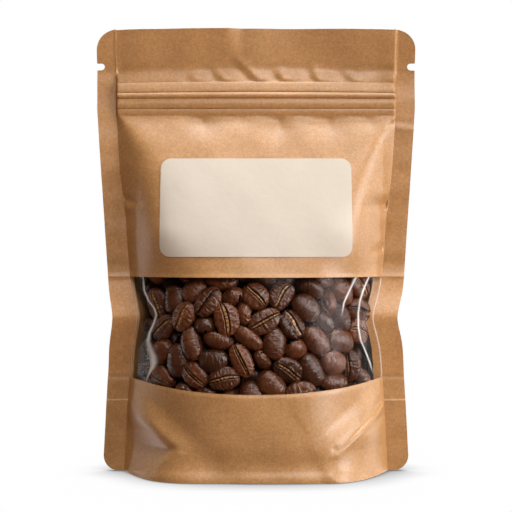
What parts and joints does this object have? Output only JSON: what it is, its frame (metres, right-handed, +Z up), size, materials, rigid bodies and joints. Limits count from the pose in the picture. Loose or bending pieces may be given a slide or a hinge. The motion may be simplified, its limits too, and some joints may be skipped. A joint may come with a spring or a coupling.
{
  "type": "coffee bag",
  "caption": "Kraft paper stand-up pouch of roasted coffee beans, with welded side seals, press-to-close zip, tear notches, clear window, blank label and opened bottom gusset.",
  "frame": {"origin": "middle of the base, on the floor, at the bottom centre of the whole", "axes": "+Z up, +X to the right as seen from the front, -Y out of the front with the window and the label"},
  "size_m": [0.11, 0.0532, 0.152],
  "materials": {
    "kraft": "satin",
    "film": "glossy",
    "beans": "satin",
    "label": "matte"
  },
  "bodies": {
    "root": {"pouch": "kraft", "window_film": "film", "beans": "beans", "label": "label"}
  },
  "joints": []
}
